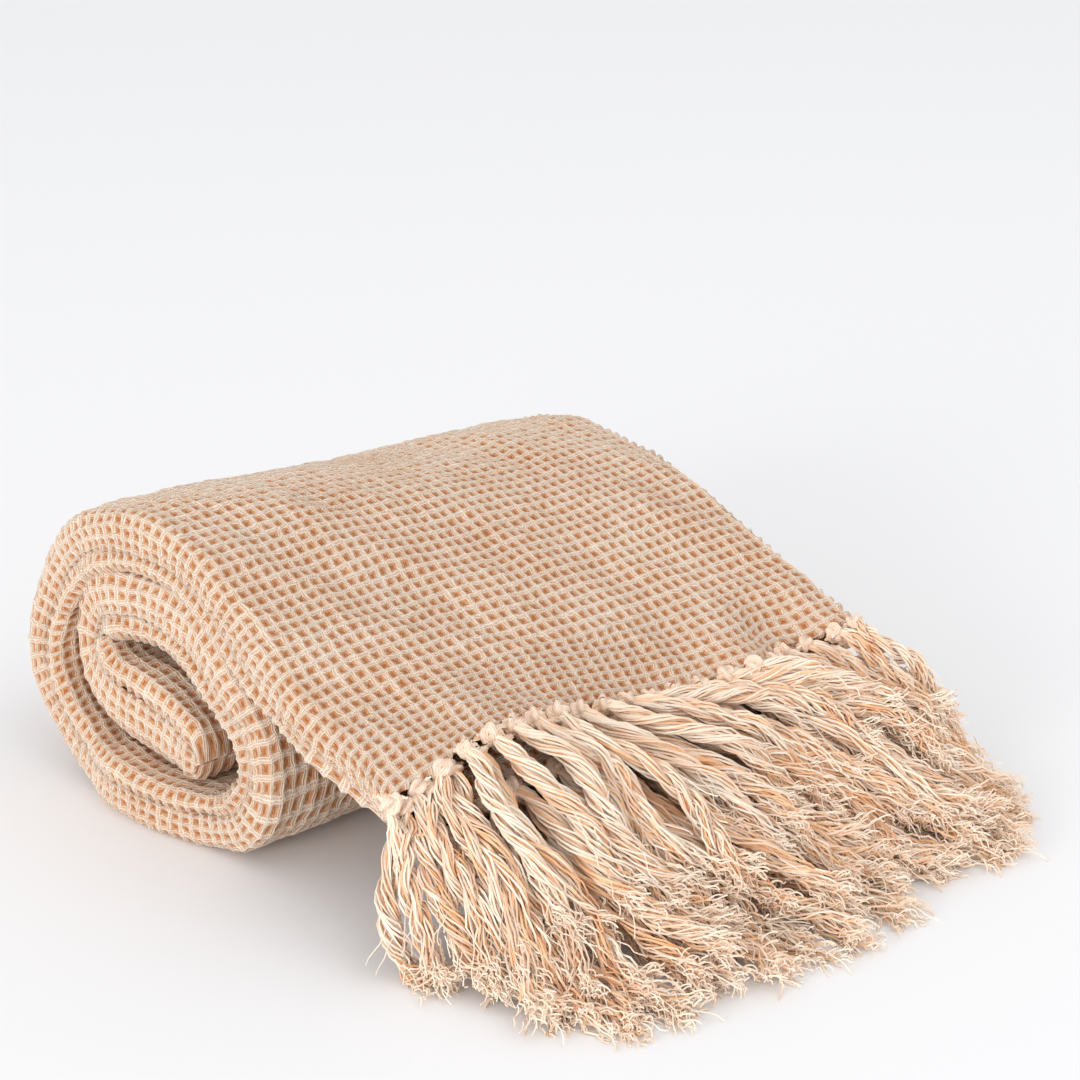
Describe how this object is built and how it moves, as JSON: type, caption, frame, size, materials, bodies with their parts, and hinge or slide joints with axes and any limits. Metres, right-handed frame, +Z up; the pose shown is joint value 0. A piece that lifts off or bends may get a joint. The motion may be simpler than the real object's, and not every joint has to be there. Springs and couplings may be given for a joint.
{
  "type": "rolled waffle weave cotton throw blanket",
  "caption": "Rolled waffle weave cotton throw whose loose end lies over the roll and falls to the front in a knotted, twisted tassel fringe.",
  "frame": {"origin": "on the floor, under the middle of the whole object's box", "axes": "+X along the roll, from the end that shows its turns to the far end; -Y towards the fringe; +Z up"},
  "size_m": [0.4774, 0.5933, 0.2143],
  "materials": {
    "waffle_cotton": "matt waffle weave cotton, cream ridges over tan cells",
    "fringe_yarn": "matt twisted cotton yarn, combed out at the ends"
  },
  "bodies": {
    "root": {"throw": "waffle_cotton", "fringe_1": "fringe_yarn", "fringe_2": "fringe_yarn", "fringe_3": "fringe_yarn", "fringe_4": "fringe_yarn", "fringe_5": "fringe_yarn", "fringe_6": "fringe_yarn"}
  },
  "joints": []
}
